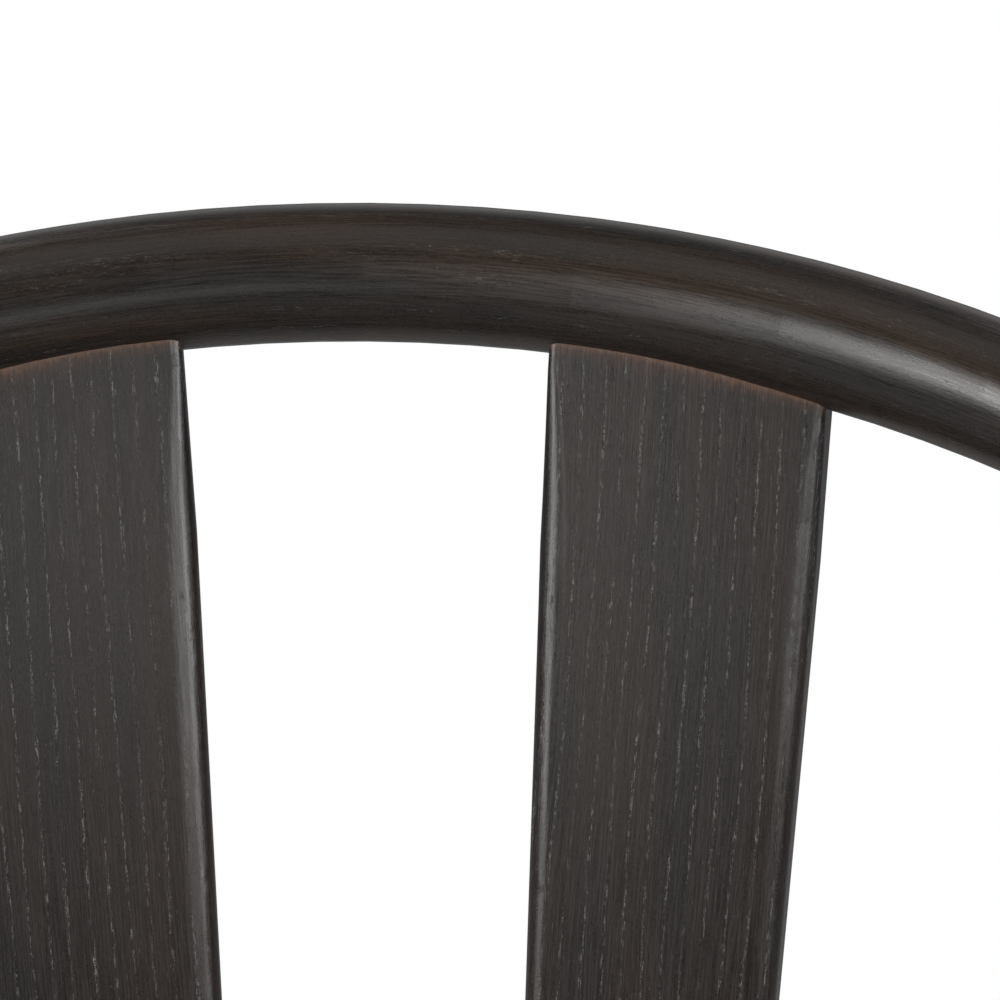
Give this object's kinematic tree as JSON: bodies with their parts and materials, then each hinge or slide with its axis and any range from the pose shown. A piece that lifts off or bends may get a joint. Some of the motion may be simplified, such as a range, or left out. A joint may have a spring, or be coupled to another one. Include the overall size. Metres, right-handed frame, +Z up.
{
  "type": "wheelback chair",
  "caption": "Dark stained wooden dining chair: a bent round bow with flat slats fanned inside it, a saddled seat, splayed turned legs and stretchers.",
  "frame": {"origin": "on the floor under the middle of the chair, half way between its front and its back", "axes": "+Z up; the sitter faces -Y; +X to the right as seen from the front"},
  "size_m": [0.456, 0.501, 0.8694],
  "materials": {
    "stained_wood": "open-pored ash under a very dark brown stain and a thin satin lacquer",
    "wedge_wood": "hardwood end grain and wedge, stained with the chair",
    "dowel_wood": "plain beech, unstained inside the joint",
    "glide": "black moulded plastic",
    "nail": "bright steel"
  },
  "bodies": {
    "root": {"back_slat_1": "stained_wood", "back_slat_2": "stained_wood", "back_slat_3": "stained_wood", "back_slat_4": "stained_wood", "bow": "stained_wood", "bow_wedge_left": "wedge_wood", "bow_wedge_right": "wedge_wood", "cross_stretcher": "stained_wood", "glide_front_left": "glide", "glide_front_right": "glide", "glide_nails": "nail", "glide_rear_left": "glide", "glide_rear_right": "glide", "leg_front_left": "stained_wood", "leg_front_right": "stained_wood", "leg_rear_left": "stained_wood", "leg_rear_right": "stained_wood", "leg_wedge_front_left": "wedge_wood", "leg_wedge_front_right": "wedge_wood", "leg_wedge_rear_left": "wedge_wood", "leg_wedge_rear_right": "wedge_wood", "seat_board_1": "stained_wood", "seat_board_2": "stained_wood", "seat_board_3": "stained_wood", "seat_dowels": "dowel_wood", "side_stretcher_left": "stained_wood", "side_stretcher_right": "stained_wood"}
  },
  "joints": []
}
